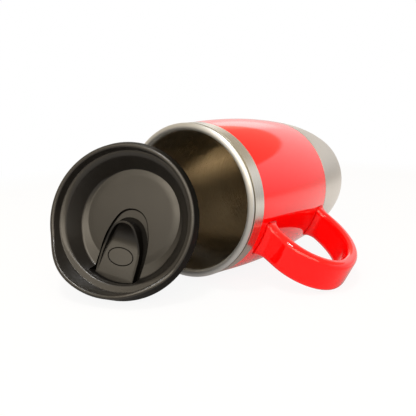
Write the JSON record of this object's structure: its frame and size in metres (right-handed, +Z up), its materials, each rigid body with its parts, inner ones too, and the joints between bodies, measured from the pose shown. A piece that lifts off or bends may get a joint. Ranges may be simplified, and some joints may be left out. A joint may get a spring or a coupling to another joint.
{
  "type": "insulated travel mug",
  "caption": "Barrel-shaped steel travel mug lying on its side, with a glossy red sleeve and loop handle, and its dark push-in lid with a sliding drink closure standing in front.",
  "frame": {"origin": "centre of the mug's foot, on the face of its non-slip pad", "axes": "+Z up from the floor; +Y from the lid towards the mug's foot, along the floor; +X towards the side the handle is on. The mug's own axis lies in the YZ plane, its foot end three degrees lower than its mouth"},
  "size_m": [0.1322, 0.1922, 0.0855],
  "materials": {
    "liner_steel": "satin steel with turning marks round the axis",
    "satin_steel": "fine satin steel",
    "red_plastic": "glossy red",
    "dark_plastic": "satin near-black",
    "silicone": "matt",
    "screw_steel": "bright plated"
  },
  "bodies": {
    "mug": {"inner_liner": "liner_steel", "outer_shell": "satin_steel", "base_cup": "satin_steel", "foot_pad": "silicone", "sleeve": "red_plastic", "handle": "red_plastic", "handle_screws": "screw_steel"},
    "lid": {"lid_body": "dark_plastic", "lid_gasket": "silicone"},
    "slider": {"slider": "dark_plastic", "slider_seal": "silicone", "slider_clip": "dark_plastic"}
  },
  "joints": [
    {"name": "lid_away", "type": "slide", "parent": "mug", "child": "lid", "axis": [0, -1, 0], "range_m": [0, 0.1]},
    {"name": "slider_open", "type": "slide", "parent": "lid", "child": "slider", "axis": [0.0921, 0.3406, 0.9357], "range_m": [0, 0.0062]}
  ]
}
